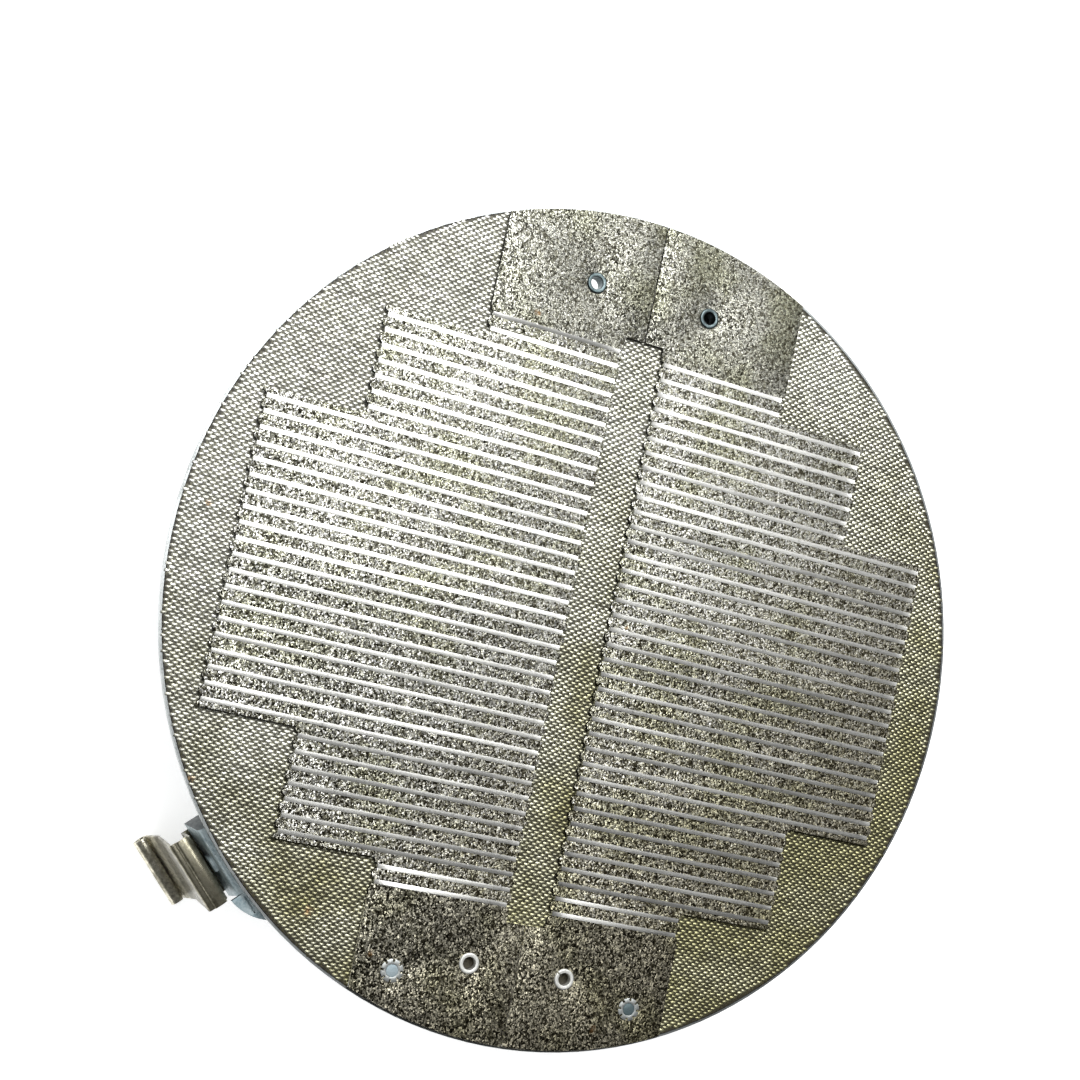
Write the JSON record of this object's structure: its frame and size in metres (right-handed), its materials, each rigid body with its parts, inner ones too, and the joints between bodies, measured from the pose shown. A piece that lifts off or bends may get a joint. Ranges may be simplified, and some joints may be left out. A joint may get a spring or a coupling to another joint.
{
  "type": "electric disc burner",
  "caption": "Round electric burner plate: two ribbon-wound mica cards on an insulated steel pan, with blade terminals behind and a sprung clip on the rim.",
  "frame": {"origin": "centre of the pan's flat rear face, on the disc's axis", "axes": "+Z out of the wound face, +X right and +Y up as the wound face is seen with the terminals at the bottom"},
  "size_m": [0.2, 0.2, 0.0387],
  "materials": {
    "zinc_pan": "zinc-plated sheet",
    "mica_sheet": "mica paper sheet",
    "cloth_board": "cloth-pressed insulating board",
    "mica_card": "mica paper card",
    "resistance_ribbon": "bright rolled ribbon",
    "eyelet_steel": "zinc-plated eyelet",
    "pin_steel": "zinc-plated pin",
    "ceramic": "unglazed steatite",
    "tab_brass": "tinned brass blade",
    "nickel_strip": "nickel strip",
    "zinc_bracket": "zinc-plated pressed steel",
    "spring_steel": "nickel-plated spring steel",
    "rivet_steel": "zinc-plated rivet"
  },
  "bodies": {
    "root": {"carrier_pan": "zinc_pan", "mica_sheet": "mica_sheet", "base_board": "cloth_board", "right_winding_card": "mica_card", "left_winding_card": "mica_card", "right_ribbon": "resistance_ribbon", "left_ribbon": "resistance_ribbon", "right_link_eyelet": "eyelet_steel", "left_link_eyelet": "eyelet_steel", "right_lead_eyelet": "eyelet_steel", "left_lead_eyelet": "eyelet_steel", "right_star_eyelet": "eyelet_steel", "left_star_eyelet": "eyelet_steel", "right_terminal_pin": "pin_steel", "left_terminal_pin": "pin_steel", "right_terminal_bush": "ceramic", "left_terminal_bush": "ceramic", "right_terminal_tab": "tab_brass", "left_terminal_tab": "tab_brass", "right_lead_strap": "nickel_strip", "left_lead_strap": "nickel_strip", "series_link": "nickel_strip", "rim_bracket": "zinc_bracket", "spring_clip": "spring_steel", "bracket_rivets": "rivet_steel", "clip_rivets": "rivet_steel"}
  },
  "joints": []
}
